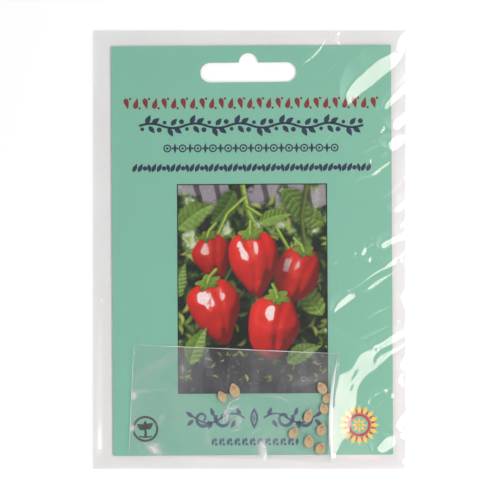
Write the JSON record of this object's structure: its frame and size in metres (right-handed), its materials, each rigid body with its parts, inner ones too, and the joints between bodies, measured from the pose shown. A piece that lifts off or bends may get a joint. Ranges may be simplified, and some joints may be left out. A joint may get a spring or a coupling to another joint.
{
  "type": "seed packet",
  "caption": "Flat clear-film seed packet with a printed card, a small clear sachet of loose pepper seeds and a punched hang slot.",
  "frame": {"origin": "centre of the packet's footprint on the surface that it lies on", "axes": "+X to the packet's right, +Y to its top edge with the hang slot, +Z out of its printed front"},
  "size_m": [0.105, 0.1474, 0.0031],
  "materials": {
    "bag_film": "clear glossy film",
    "sachet_film": "clear glossy film, slightly milky",
    "printed_card": "printed satin card",
    "seed_coat": "dry matt seed coat"
  },
  "bodies": {
    "root": {"bag": "bag_film", "card": "printed_card", "sachet": "sachet_film", "seed_01": "seed_coat", "seed_02": "seed_coat", "seed_03": "seed_coat", "seed_04": "seed_coat", "seed_05": "seed_coat", "seed_06": "seed_coat", "seed_07": "seed_coat", "seed_08": "seed_coat", "seed_09": "seed_coat", "seed_10": "seed_coat"}
  },
  "joints": []
}
